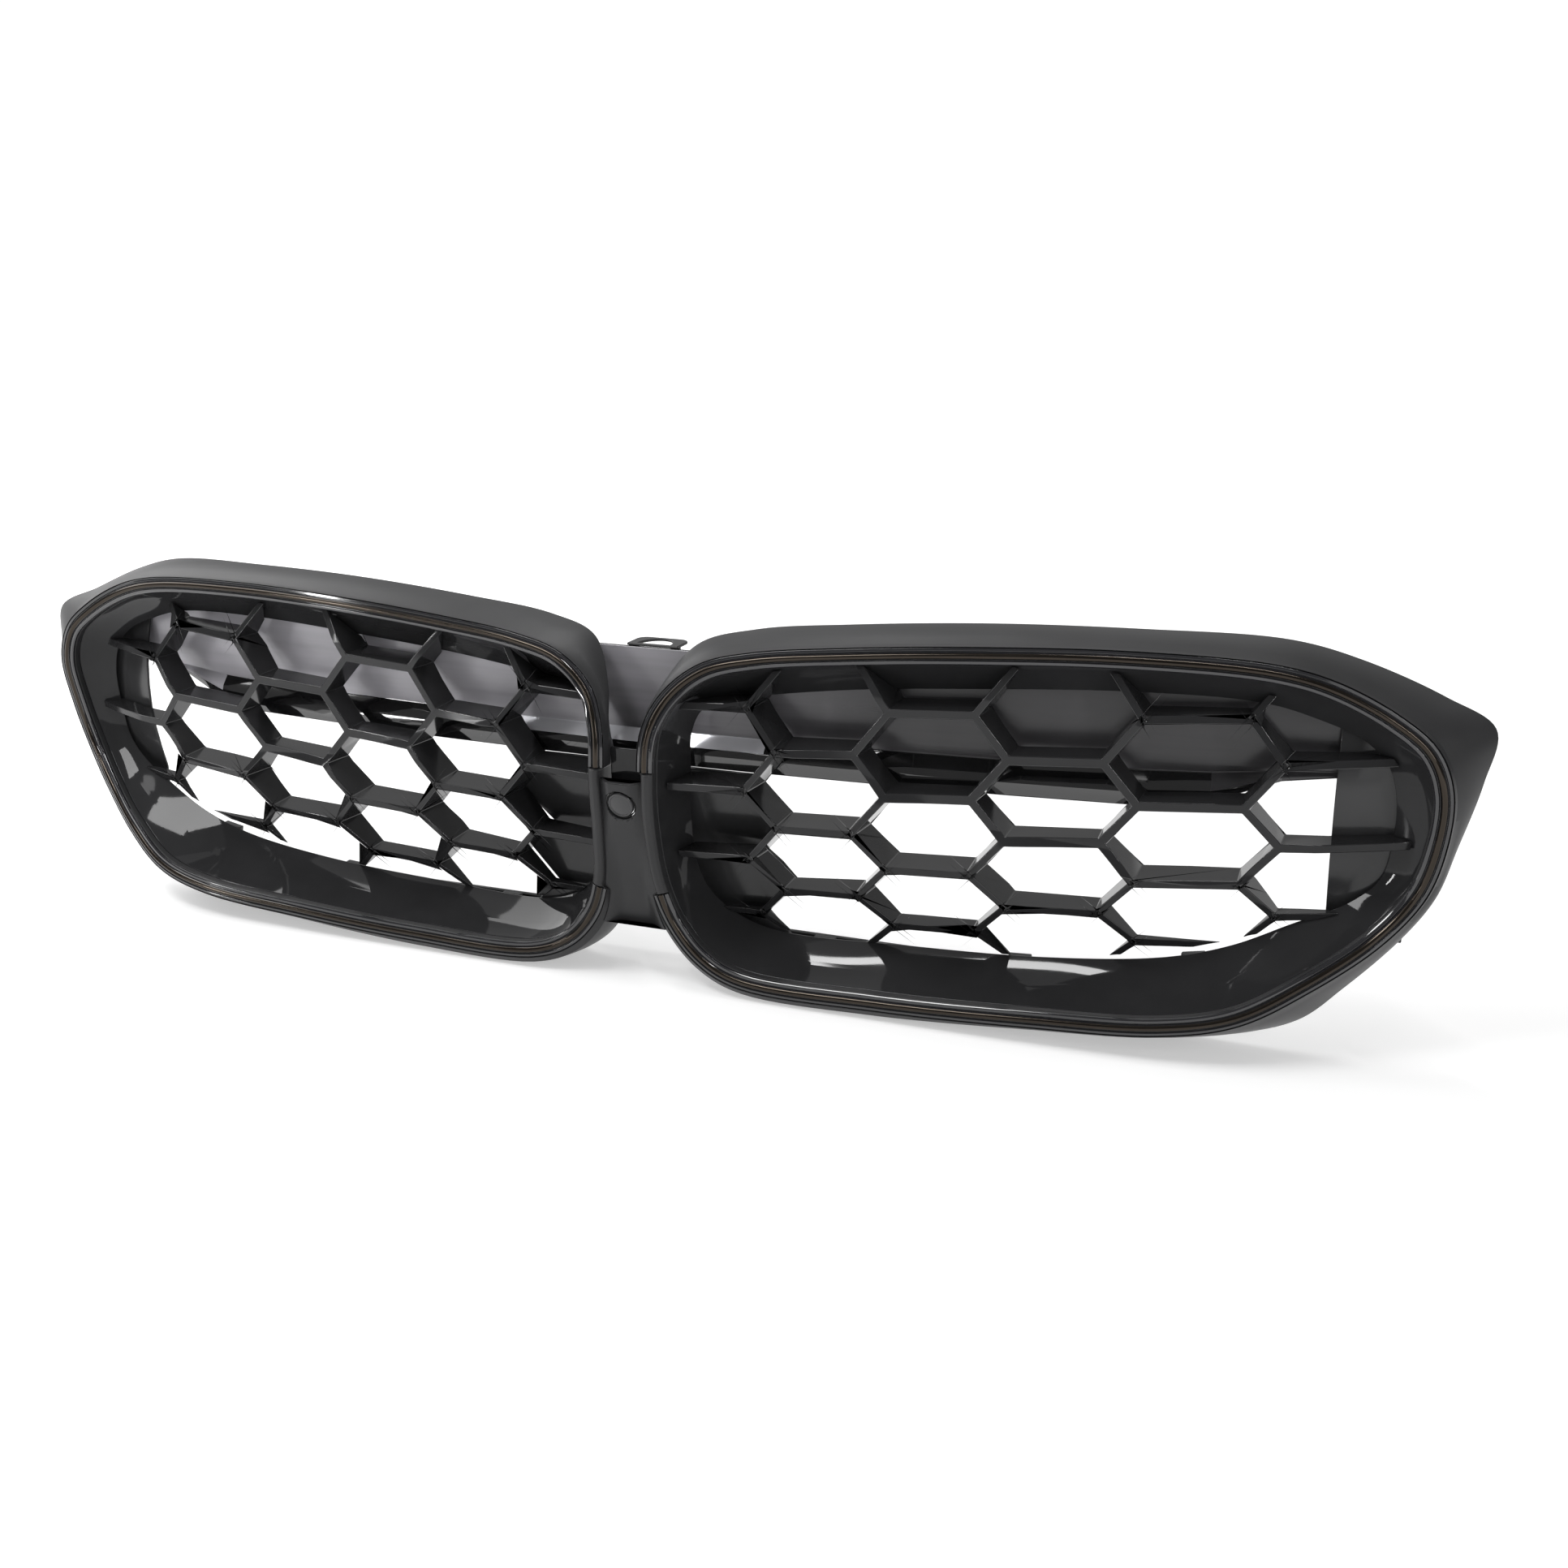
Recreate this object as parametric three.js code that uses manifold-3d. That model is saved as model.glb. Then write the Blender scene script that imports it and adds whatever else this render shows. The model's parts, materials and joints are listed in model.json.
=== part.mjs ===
// Front grille of a car, in millimetres: x across the car, y towards the engine, z up.
// Two ring-shaped surrounds, joined by a narrow bridge, each hold a shroud and a hexagon mesh insert.
import * as THREE from 'three';
import { mergeVertices } from 'three/addons/utils/BufferGeometryUtils.js';
import Module from 'manifold-3d';

const wasm = await Module();
wasm.setup();

// ---- driving dimensions -------------------------------------------------------------------

const GAP = 0.3; // clearance between pieces that touch
const ORIGIN = new THREE.Vector3(0, 8.44, -116.16); // middle of the footprint, in the modelling axes

// The right-hand opening, clockwise from the bridge: the bead line of the trim ring, how far the
// outer skin flares under it, the rear rim of the surround, and the rear throat of the shroud.
const OUTLINE = [
  { bead: [14, -31, 0], flare: 0, rim: [12.4, -5, 0], throat: [26, 4, 0] },
  { bead: [15.5, -28, 28], flare: 0.8, rim: [10.2, -20, 28], throat: [26.5, 5, 22] },
  { bead: [24, -21, 46], flare: 0.8, rim: [14.6, -10.5, 47], throat: [32, 7, 34] },
  { bead: [42, -17, 60.5], flare: 0.8, rim: [30, 6, 70], throat: [46, 9, 40] },
  { bead: [68, -14, 67.5], flare: 0.8, rim: [60, 14, 78.5], throat: [70, 11, 44.5] },
  { bead: [115, -9, 72.5], flare: 0.8, rim: [112, 16, 84.5], throat: [118, 13, 51] },
  { bead: [185, -4, 77.5], flare: 0.8, rim: [184, 20, 89.6], throat: [186, 16, 56.5] },
  { bead: [260, 2, 80], flare: 0.8, rim: [258, 27, 91], throat: [258, 20, 60.5] },
  { bead: [325, 8, 77.5], flare: 0.8, rim: [328, 38, 88.8], throat: [318, 26, 59] },
  { bead: [352, 11, 71], flare: 0.8, rim: [362, 43, 80.3], throat: [345, 30, 52] },
  { bead: [380, 14, 57], flare: 0.8, rim: [401, 47, 64.5], throat: [366, 33, 43] },
  { bead: [397, 15.5, 43], flare: 0.8, rim: [424.5, 40, 52.5], throat: [378, 35, 31] },
  { bead: [404.5, 17, 24], flare: 0.8, rim: [421.5, 36, 27], throat: [383, 36, 14] },
  { bead: [403.5, 22, -6], flare: 0.8, rim: [413, 36, -7], throat: [383, 38, -8] },
  { bead: [397, 23, -29], flare: 0.8, rim: [406, 35, -32], throat: [379, 38, -27] },
  { bead: [380, 15, -51], flare: 0.8, rim: [393, 34, -54], throat: [366, 34, -39.5] },
  { bead: [350, -2, -73], flare: 0.8, rim: [368, 27, -82], throat: [340, 26, -51.5] },
  { bead: [320, -14, -90], flare: 0.8, rim: [347, 22, -101], throat: [312, 22, -65.5] },
  { bead: [285, -20, -98], flare: 1.5, rim: [309, 20, -113], throat: [280, 21, -76] },
  { bead: [220, -22, -103], flare: 2, rim: [226, 24, -115], throat: [220, 20, -84.5] },
  { bead: [140, -22, -107], flare: 3.6, rim: [141, 24, -115.2], throat: [142, 20, -89] },
  { bead: [62, -22, -106], flare: 3.6, rim: [58, 18, -114.8], throat: [72, 16, -89] },
  { bead: [40, -20, -97], flare: 3.6, rim: [33, 8, -106], throat: [48, 12, -80] },
  { bead: [25, -20, -80], flare: 3.4, rim: [16.6, 4, -86], throat: [34, 8, -66] },
  { bead: [17, -23, -58], flare: 0.6, rim: [15.6, -5, -58], throat: [28, 5, -48] },
  { bead: [14.2, -28, -30], flare: 0, rim: [12.4, -5, -30], throat: [26, 4, -26] },
];
const CORNERS = OUTLINE.length;
const RING_START = 0.25; // the trim ring runs between these two corners of the outline
const RING_END = 23.8; // and stops at the bridge, where the surround is plain
const RING_STEPS = 56;
const PLAIN_STEPS = 7;

const LIP = 4.8; // from the bead to the inner lip
const CREASE = 4.6; // from the bead to the outer crease, beside the trim ring
const PLAIN_CREASE = 1.8; // the same, beside the bridge
const SEAT = 2.6; // depth of the seat that the trim ring lies in
const LAND = 6.5; // from the bead back to the rear of the seat
const SKIN = 2.6; // wall of the surround
const SHROUD_WALL = 2.2;

const MESH = {
  depth: 22, endDepth: 11, bar: 4.2, slant: 3.6, draft: 1.3,
  firstStart: 81.8, pitch: 58, growth: 1.55, slope: 17.5, columns: 6,
};
const BEAM = {
  half: 362, taper: [275, 350], centre: 12, sweep: 31, wall: 3, skin: 0.7, top: 64, bottom: 2, lip: 6,
};
const BRIDGE = { front: -34, lean: THREE.MathUtils.degToRad(15), top: 1, bottom: -84.6, wall: 4 };
const PLUG = { z: -12.2, radius: 7.3, thickness: 2.6, skirt: 5.9, length: 9 };
const PLUG_HOLE = 8.6;
const PANEL = {
  gap: 1.6, thickness: 2, innerX: 15, innerZ: [-95, 1.6], innerRear: 18,
  outerX: [355, 392], outerZ: [-60, 50], outerRear: 40.2,
};
const BRACKET = { x: [110, 268], top: [76.5, 83], width: 20, wall: 2.5, bottom: 48, screwZ: 57 };
const SCREW = { shank: 2, head: 4.2, headHeight: 2.6, length: 5, play: 0.4 };
const TAB = {
  half: 15, rear: 31, corner: 6, thickness: 1.5, slotHalf: 9.5, slotFront: 15.2, slotDepth: 13.4,
  wall: 2.5, legBottom: 46, notch: 60, screwX: [-9, 9], screwZ: 53,
};
const TAB_SEAT = BEAM.centre + BEAM.wall + 0.4; // rear face of the beam, behind which the leg stands
const RAIL = { half: 235, front: 26, wall: 3, top: -92.5, bottom: -99.5 };
const CLIP = { width: 12, height: 4.4, depth: 3.6, corners: [17.6, 19.2, 20.6] };

// ---- materials ----------------------------------------------------------------------------

const FINISH = {
  satin: { color: 0x3d3d3e, roughness: 0.42, metalness: 0 },
  gloss: { color: 0x161617, roughness: 0.08, metalness: 0 },
  mesh: { color: 0x1d1d1e, roughness: 0.16, metalness: 0 },
  trim: { color: 0x26241f, roughness: 0.12, metalness: 0.2 },
  panel: { color: 0x47464a, roughness: 0.3, metalness: 0 },
  carrier: { color: 0x242424, roughness: 0.6, metalness: 0 },
  rubber: { color: 0x111111, roughness: 0.85, metalness: 0 },
  steel: { color: 0x74747a, roughness: 0.35, metalness: 1 },
};

const group = new THREE.Group();
group.position.copy(ORIGIN).negate();

function add(name, geometry, finish, parent = group) {
  const mesh = new THREE.Mesh(geometry, new THREE.MeshStandardMaterial(FINISH[finish]));
  mesh.name = name;
  parent.add(mesh);
  return mesh;
}

// ---- solids -------------------------------------------------------------------------------

function toSolid(geometry) {
  const bare = geometry.clone();
  bare.deleteAttribute('normal');
  bare.deleteAttribute('uv');
  const merged = mergeVertices(bare, 1e-4);
  return new wasm.Manifold(new wasm.Mesh({
    numProp: 3,
    vertProperties: new Float32Array(merged.attributes.position.array),
    triVerts: new Uint32Array(merged.index.array),
  }));
}

function toGeometry(solid) {
  const mesh = solid.getMesh();
  const geometry = new THREE.BufferGeometry();
  geometry.setAttribute('position', new THREE.BufferAttribute(new Float32Array(mesh.vertProperties), 3));
  geometry.setIndex(Array.from(mesh.triVerts));
  return geometry;
}

// The biggest of the separate bodies in a solid: a cut can leave loose slivers behind.
function largestBody(solid) {
  return solid.decompose().reduce((best, body) => (body.volume() > best.volume() ? body : best));
}

function unite(geometries) {
  return geometries.map(toSolid).reduce((sum, solid) => sum.add(solid));
}

function cut(geometry, ...tools) {
  return toGeometry(tools.map(toSolid).reduce((rest, tool) => rest.subtract(tool), toSolid(geometry)));
}

function mirrored(geometry) {
  const copy = geometry.clone();
  copy.scale(-1, 1, 1);
  if (!copy.index) copy.setIndex([...Array(copy.attributes.position.count).keys()]);
  const index = copy.index.array;
  for (let i = 0; i < index.length; i += 3) [index[i], index[i + 1]] = [index[i + 1], index[i]];
  return copy;
}

// A node on each side of the car: the right-hand one as made, the left-hand one mirrored.
function addPair(name, geometry, finish) {
  add(`${name}_right`, geometry, finish);
  add(`${name}_left`, mirrored(geometry), finish);
}

function signedVolume(points, triangles) {
  return triangles.reduce((sum, [a, b, c]) => {
    const cross = new THREE.Vector3().crossVectors(points[b], points[c]);
    return sum + points[a].dot(cross) / 6;
  }, 0);
}

// A closed body through a row of sections that have the same number of points. An open row gets
// an end face on each end, cut into triangles by the flat shape of its section.
function loft(sections, flatSection = null) {
  const size = sections[0].length;
  const points = sections.flat();
  const triangles = [];
  const last = flatSection ? sections.length - 1 : sections.length;
  for (let i = 0; i < last; i += 1) {
    const next = (i + 1) % sections.length;
    for (let k = 0; k < size; k += 1) {
      const after = (k + 1) % size;
      const [a, b, c, d] = [i * size + k, next * size + k, next * size + after, i * size + after];
      triangles.push([a, b, c], [a, c, d]);
    }
  }
  if (flatSection) {
    const end = (sections.length - 1) * size;
    const turned = THREE.ShapeUtils.isClockWise(flatSection);
    for (const [a, b, c] of THREE.ShapeUtils.triangulateShape(flatSection, [])) {
      const face = turned ? [a, c, b] : [a, b, c];
      triangles.push(face, [...face].reverse().map((k) => end + k));
    }
  }
  const outward = signedVolume(points, triangles) > 0;
  const geometry = new THREE.BufferGeometry().setFromPoints(points);
  geometry.setIndex(triangles.flatMap(([a, b, c]) => (outward ? [a, b, c] : [a, c, b])));
  return geometry;
}

function box(x0, x1, y0, y1, z0, z1) {
  const geometry = new THREE.BoxGeometry(x1 - x0, y1 - y0, z1 - z0);
  geometry.translate((x0 + x1) / 2, (y0 + y1) / 2, (z0 + z1) / 2);
  return geometry;
}

// A flat outline in x and z, standing up, from y = front towards the rear.
function plate(outline, front, thickness) {
  const shape = new THREE.Shape(outline.map(([x, z]) => new THREE.Vector2(x, z)));
  const geometry = new THREE.ExtrudeGeometry(shape, { depth: thickness, bevelEnabled: false });
  geometry.rotateX(Math.PI / 2);
  geometry.translate(0, front + thickness, 0);
  return geometry;
}

function rod(radius, y0, y1, x, z, sides = 16) {
  const geometry = new THREE.CylinderGeometry(radius, radius, y1 - y0, sides);
  geometry.translate(x, (y0 + y1) / 2, z);
  return geometry;
}

// ---- the outline of an opening ------------------------------------------------------------

function closedCurve(key) {
  const points = OUTLINE.map((corner) => new THREE.Vector3(...corner[key]));
  return new THREE.CatmullRomCurve3(points, true, 'centripetal');
}

const CURVES = { bead: closedCurve('bead'), rim: closedCurve('rim'), throat: closedCurve('throat') };

// Everything a section needs at one place on the outline; corner counts from 0 and may be a
// fraction. The outward direction lies in the x-z plane.
function stationAt(corner) {
  const t = (corner / CORNERS) % 1;
  const step = 0.02 / CORNERS;
  const before = CURVES.bead.getPoint((t + 1 - step) % 1);
  const after = CURVES.bead.getPoint((t + step) % 1);
  const along = after.sub(before);
  const out = new THREE.Vector3(-along.z, 0, along.x).normalize();
  const low = Math.floor(corner) % CORNERS;
  const blend = corner - Math.floor(corner);
  const flare = THREE.MathUtils.lerp(OUTLINE[low].flare, OUTLINE[(low + 1) % CORNERS].flare, blend);
  const plain = corner > RING_END || corner < RING_START;
  return {
    bead: CURVES.bead.getPoint(t),
    rim: CURVES.rim.getPoint(t),
    throat: CURVES.throat.getPoint(t),
    out,
    flare,
    plain,
    crease: plain ? PLAIN_CREASE : CREASE,
  };
}

// The point d outside a station's anchor and y behind it.
function offset(station, d, y, anchor = station.bead) {
  return anchor.clone().addScaledVector(station.out, d).add(new THREE.Vector3(0, y, 0));
}

function spread(start, end, steps) {
  return Array.from({ length: steps + 1 }, (_, i) => THREE.MathUtils.lerp(start, end, i / steps));
}

const STEP_WIDTH = 0.04; // of a corner: how quickly the seat rises to the plain stretch
const ringStations = spread(RING_START + 0.001, RING_END - 0.001, RING_STEPS).map(stationAt);
const plainCorners = spread(RING_END + STEP_WIDTH, CORNERS + RING_START - STEP_WIDTH, PLAIN_STEPS);
const plainStations = plainCorners.map(stationAt);
const stations = [...ringStations, ...plainStations];

// ---- surround, trim ring, shroud ----------------------------------------------------------

// Front land with a seat for the trim ring, or a rounded crown beside the bridge.
function landSection(station) {
  if (station.plain) {
    return [[-LIP, LAND], [-LIP, 1.4], [-3.4, -0.3], [-1, -1], [0.8, -0.6], [station.crease, 0.8]];
  }
  return [[-LIP, LAND], [-LIP, SEAT], [-1.4, SEAT], [1.6, SEAT], [CREASE - 0.2, SEAT], [CREASE, 0.6]];
}

function surroundSection(station) {
  const skirt = station.crease + station.flare;
  return [
    ...landSection(station).map(([d, y]) => offset(station, d, y)),
    offset(station, skirt, 3.8),
    station.rim,
    offset(station, -5, 4, station.rim),
    offset(station, -6.4, 1.6, station.rim),
    offset(station, -SKIN - 0.4, -0.6, station.rim),
    offset(station, skirt - SKIN, 6.4),
  ];
}

const RING_SECTION = [
  [-LIP + 0.2, SEAT - GAP], [-LIP + 0.2, 1.2], [-LIP + 1, 0.6], [-2.2, 0.7], [-1.6, 1.6], [-0.9, 0.1],
  [0, -0.6], [0.9, 0.1], [1.7, 1.6], [2.6, 0.7], [CREASE - 0.6, 0.9], [CREASE - 0.6, SEAT - GAP],
];

function trimRing() {
  const sections = ringStations.map((station) => (
    RING_SECTION.map(([d, y]) => offset(station, d, y))));
  return loft(sections, RING_SECTION.map(([d, y]) => new THREE.Vector2(d, y)));
}

function shroudSection(station) {
  const front = LAND + GAP;
  return [
    offset(station, -LIP, front),
    station.throat,
    offset(station, SHROUD_WALL, 0, station.throat),
    offset(station, SHROUD_WALL - LIP, front),
  ];
}

// The space inside the ring and the shroud, a little clear of their walls, closed at both ends;
// it runs on straight for the given depth behind the shroud.
function throatSpace(depth) {
  const clear = LIP + 0.35;
  const rows = [
    (s) => offset(s, -clear, 1),
    (s) => offset(s, -clear, LAND),
    (s) => offset(s, -0.35, 0, s.throat),
    (s) => offset(s, -0.35, depth, s.throat),
  ];
  const count = stations.length;
  const points = rows.flatMap((row) => stations.map(row));
  const triangles = [];
  for (let r = 0; r < rows.length - 1; r += 1) {
    for (let i = 0; i < count; i += 1) {
      const next = (i + 1) % count;
      const [a, b, c, d] = [r * count + i, r * count + next, (r + 1) * count + next, (r + 1) * count + i];
      triangles.push([a, b, c], [a, c, d]);
    }
  }
  for (const [row, flip] of [[0, true], [rows.length - 1, false]]) {
    const rim = points.slice(row * count, (row + 1) * count);
    const middle = rim.reduce((sum, p) => sum.add(p), new THREE.Vector3()).divideScalar(count);
    const hub = points.push(middle) - 1;
    for (let i = 0; i < count; i += 1) {
      const [a, b] = [row * count + i, row * count + ((i + 1) % count)];
      triangles.push(flip ? [hub, b, a] : [hub, a, b]);
    }
  }
  const outward = signedVolume(points, triangles) > 0;
  const geometry = new THREE.BufferGeometry().setFromPoints(points);
  geometry.setIndex(triangles.flatMap(([a, b, c]) => (outward ? [a, b, c] : [a, c, b])));
  return toSolid(geometry);
}

// ---- mesh insert --------------------------------------------------------------------------

// The insert is pulled back at its outer end, its top and, most of all, its bottom.
function meshFront(x, z) {
  return -17 + 52 * (Math.abs(x) / 400) ** 3.5 + 38 * (z / 100) ** 2 - 4 * (z / 100);
}

function meshDepth(x) {
  return THREE.MathUtils.lerp(MESH.depth, MESH.endDepth, THREE.MathUtils.smoothstep(x, 290, 370));
}

// Lays a flat geometry, one unit deep, along the insert and gives it the insert's depth.
function bend(geometry) {
  const place = geometry.attributes.position;
  for (let i = 0; i < place.count; i += 1) {
    const [x, z] = [place.getX(i), place.getZ(i)];
    place.setY(i, place.getY(i) * meshDepth(x) + meshFront(x, z));
  }
  return geometry;
}

function columnStart(column) {
  const step = column - 1;
  return MESH.firstStart + MESH.pitch * step + MESH.growth * step * Math.max(step - 1, 0);
}

function columnEnd(column) {
  return columnStart(column + 1) - MESH.slope;
}

// Height of the middle of a bar; levels count down from the top and columns alternate.
function barHeight(level, x) {
  return 24.5 - 21.6 * level + 0.42 * level ** 2 + 0.045 * (x - 161);
}

// A bar one unit deep, thicker towards the rear by the draft of its mould.
function strut(x0, z0, x1, z1, thickness) {
  const length = Math.hypot(x1 - x0, z1 - z0) + thickness * 0.5;
  const geometry = new THREE.BoxGeometry(length, 1, thickness, Math.ceil(length / 30), 1, 1);
  geometry.translate(0, 0.5, 0);
  const place = geometry.attributes.position;
  for (let i = 0; i < place.count; i += 1) {
    place.setZ(i, place.getZ(i) + Math.sign(place.getZ(i)) * place.getY(i) * MESH.draft);
  }
  geometry.rotateY(-Math.atan2(z1 - z0, x1 - x0));
  geometry.translate((x0 + x1) / 2, 0, (z0 + z1) / 2);
  return bend(geometry);
}

function meshInsert(space) {
  const struts = [];
  for (let column = 0; column < MESH.columns; column += 1) {
    const x0 = column === 0 ? 15 : columnStart(column);
    const x1 = column === MESH.columns - 1 ? 400 : columnEnd(column);
    for (const level of column % 2 ? [0, 2, 4] : [-1, 1, 3, 5]) {
      struts.push(strut(x0, barHeight(level, x0), x1, barHeight(level, x1), MESH.bar));
    }
    if (column === MESH.columns - 1) continue;
    const next = columnStart(column + 1);
    for (const level of [-1, 1, 3, 5]) {
      for (const other of [level - 1, level + 1]) {
        const [here, there] = column % 2 ? [other, level] : [level, other];
        struts.push(strut(x1, barHeight(here, x1), next, barHeight(there, next), MESH.slant));
      }
    }
  }
  return toGeometry(largestBody(unite(struts).intersect(space)));
}

// ---- rear pieces --------------------------------------------------------------------------

// Front face of a blanking panel: just behind the insert, but never further back than the limit.
function panelFront(x, z, limit) {
  return Math.min(meshFront(x, z) + meshDepth(x) + PANEL.gap, limit);
}

// A thin panel that blanks off the cells at the outer end of the insert.
function outerPanel() {
  const { thickness, outerX, outerZ, outerRear } = PANEL;
  const [width, height] = [outerX[1] - outerX[0], outerZ[1] - outerZ[0]];
  const panel = new THREE.BoxGeometry(width, thickness, height, 4, 1, 8);
  panel.translate(outerX[0] + width / 2, thickness / 2, outerZ[0] + height / 2);
  const place = panel.attributes.position;
  for (let i = 0; i < place.count; i += 1) {
    place.setY(i, place.getY(i) + panelFront(place.getX(i), place.getZ(i), outerRear));
  }
  return panel;
}

// The panel at the inner end; its edge zigzags along the struts of the first column.
function innerPanel() {
  const { thickness, innerX, innerZ, innerRear } = PANEL;
  const [near, far] = [columnEnd(0), columnStart(1)];
  const edge = [[near, innerZ[1]]];
  for (const level of [1, 2, 3, 4, 5]) {
    const x = level % 2 ? near : far;
    edge.push([x, barHeight(level, x)]);
  }
  edge.push([far, innerZ[0]]);
  const rows = edge.slice(1).flatMap(([x, z], i) => {
    const [lastX, lastZ] = edge[i];
    return [[(x + lastX) / 2, (z + lastZ) / 2], [x, z]];
  });
  const sections = [edge[0], ...rows].map(([x, z]) => (
    [[innerX, 0], [x, 0], [x, thickness], [innerX, thickness]].map(([px, depth]) => (
      new THREE.Vector3(px, panelFront(px, z, innerRear) + depth, z)))));
  return loft(sections, [[0, 0], [1, 0], [1, 1], [0, 1]].map(([a, b]) => new THREE.Vector2(a, b)));
}

function beamFront(x) {
  return BEAM.centre + BEAM.sweep * (x / BEAM.half) ** 2;
}

function beamAngle(x) {
  return Math.atan(2 * BEAM.sweep * x / BEAM.half ** 2);
}

// A tall panel that bulges a little forward, with a lip along its lower edge.
function beam() {
  const { wall, top, bottom, lip } = BEAM;
  const section = [
    [0.8, top], [-0.6, 48], [-0.8, 36], [0, 24], [0.8, 19], [-lip + 1.4, 12.5], [-lip, 9], [-lip, bottom],
    [-lip + wall, bottom], [-lip + wall, 9.6], [wall, 15.5], [wall, top],
  ];
  const waist = 24; // below this height the section shrinks towards the ends
  const sections = spread(-BEAM.half, BEAM.half, 22).map((x) => {
    const keep = 1 - 0.9 * THREE.MathUtils.smoothstep(Math.abs(x), ...BEAM.taper);
    return section.map(([y, z]) => {
      const height = z < waist ? waist - (waist - z) * keep : z;
      return new THREE.Vector3(x, beamFront(x) + (y < 0 && z < waist ? y * keep : y), height);
    });
  });
  return loft(sections, section.map(([y, z]) => new THREE.Vector2(y, z)));
}

function screwGeometry(length) {
  const { shank, head, headHeight } = SCREW;
  const profile = [
    [0, 0], [shank, 0], [shank, length], [head, length], [head, length + headHeight * 0.6],
    [head * 0.7, length + headHeight], [0, length + headHeight],
  ];
  return new THREE.LatheGeometry(profile.map(([r, h]) => new THREE.Vector2(r, h)), 12);
}

// Hangers from the rear of the beam up to the folded rear edge of the surround. Their screws come
// from the rear and end in blind holes, so that nothing shows on the face of the beam.
function addBrackets(beamGeometry) {
  const bore = SCREW.shank + SCREW.play;
  const reach = 12;
  const holes = [];
  for (const side of [-1, 1]) {
    BRACKET.x.forEach((x, order) => {
      const place = side * x;
      const name = `${order ? 'outer' : 'inner'}_hanger_${side > 0 ? 'right' : 'left'}`;
      const seat = new THREE.Group();
      seat.position.set(place, beamFront(place) + BEAM.wall + GAP, 0);
      seat.rotation.z = beamAngle(place);
      group.add(seat);
      const half = BRACKET.width / 2;
      const strap = box(-half, half, GAP, BRACKET.wall + GAP, BRACKET.bottom, BRACKET.top[order]);
      const hole = rod(bore, -reach, reach, 0, BRACKET.screwZ);
      add(name, cut(strap, hole), 'carrier', seat);
      const screw = add(`${name}_screw`, screwGeometry(SCREW.length), 'steel', seat);
      screw.position.set(0, BRACKET.wall + 2 * GAP - SCREW.length, BRACKET.screwZ);
      const blind = rod(bore, BEAM.skin - BEAM.wall, reach, 0, BRACKET.screwZ);
      blind.rotateZ(beamAngle(place));
      blind.translate(place, beamFront(place) + BEAM.wall, 0);
      holes.push(blind);
    });
  }
  return cut(beamGeometry, ...holes);
}

// A tongue with an arched slot, on a leg that is screwed to the rear of the beam. The slot runs on
// down through the top of the leg.
function mountTab() {
  const { half, rear, corner, thickness, wall, legBottom, notch, screwX, screwZ } = TAB;
  const front = BEAM.centre + 1;
  const bottom = BEAM.top + GAP;
  const tongue = new THREE.Shape();
  tongue.moveTo(-half, front);
  tongue.lineTo(half, front);
  tongue.lineTo(half, rear - corner);
  tongue.absarc(half - corner, rear - corner, corner, 0, Math.PI / 2);
  tongue.absarc(corner - half, rear - corner, corner, Math.PI / 2, Math.PI);
  tongue.closePath();
  const arch = new THREE.Shape();
  arch.absellipse(0, TAB.slotFront, TAB.slotHalf, TAB.slotDepth, 0, Math.PI);
  arch.closePath();
  const extrude = (shape, depth) => (
    new THREE.ExtrudeGeometry(shape, { depth, bevelEnabled: false, curveSegments: 10 }));
  const flat = extrude(tongue, thickness);
  flat.translate(0, 0, bottom);
  const leg = box(-half, half, TAB_SEAT, TAB_SEAT + wall, legBottom, bottom + thickness / 2);
  const slot = extrude(arch, BEAM.top - notch + 2 * thickness);
  slot.translate(0, 0, notch);
  const holes = screwX.map((x) => rod(SCREW.shank + SCREW.play, 0, 40, x, screwZ));
  return cut(toGeometry(unite([flat, leg])), slot, ...holes);
}

// Spring clips behind the rear edge of the shroud's floor hold the insert in.
function addClips() {
  CLIP.corners.forEach((corner, order) => {
    const station = stationAt(corner);
    const clip = box(-CLIP.width / 2, CLIP.width / 2, 0, CLIP.depth, -CLIP.height / 2, CLIP.height / 2);
    clip.rotateY(Math.atan2(station.out.x, station.out.z));
    const seat = offset(station, CLIP.height / 2 + GAP, GAP + 0.6, station.throat);
    clip.translate(seat.x, seat.y, seat.z);
    addPair(`insert_clip_${order + 1}`, clip, 'carrier');
  });
}

// ---- bridge and plug ----------------------------------------------------------------------

function bridgeFront(z) {
  return BRIDGE.front - z * Math.tan(BRIDGE.lean);
}

// The edge of the bridge runs just inside the crease of each surround.
function bridge() {
  const edge = plainCorners.concat(spread(CORNERS - 3.2, RING_END - 0.05, 3)).map((corner) => {
    const station = stationAt(corner);
    return offset(station, station.crease + station.flare + 1.2, 0);
  });
  const kept = edge.filter((p) => p.z > BRIDGE.bottom && p.z < BRIDGE.top).sort((a, b) => a.z - b.z);
  const right = [[kept[0].x, BRIDGE.bottom], ...kept.map((p) => [p.x, p.z]), [kept.at(-1).x, BRIDGE.top]];
  const left = right.map(([x, z]) => [-x, z]).reverse();
  const web = plate([...right, ...left], 0, BRIDGE.wall);
  const place = web.attributes.position;
  for (let i = 0; i < place.count; i += 1) place.setY(i, place.getY(i) + bridgeFront(place.getZ(i)));
  return web;
}

// Local frame of the plug: its z axis points out of the bridge.
const plugSeat = new THREE.Group();
plugSeat.position.set(0, bridgeFront(PLUG.z), PLUG.z);
plugSeat.rotation.x = Math.PI / 2 + BRIDGE.lean;

function lathe(profile, sides) {
  const geometry = new THREE.LatheGeometry(profile.map(([r, h]) => new THREE.Vector2(r, h)), sides);
  geometry.rotateX(Math.PI / 2);
  return geometry;
}

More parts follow.
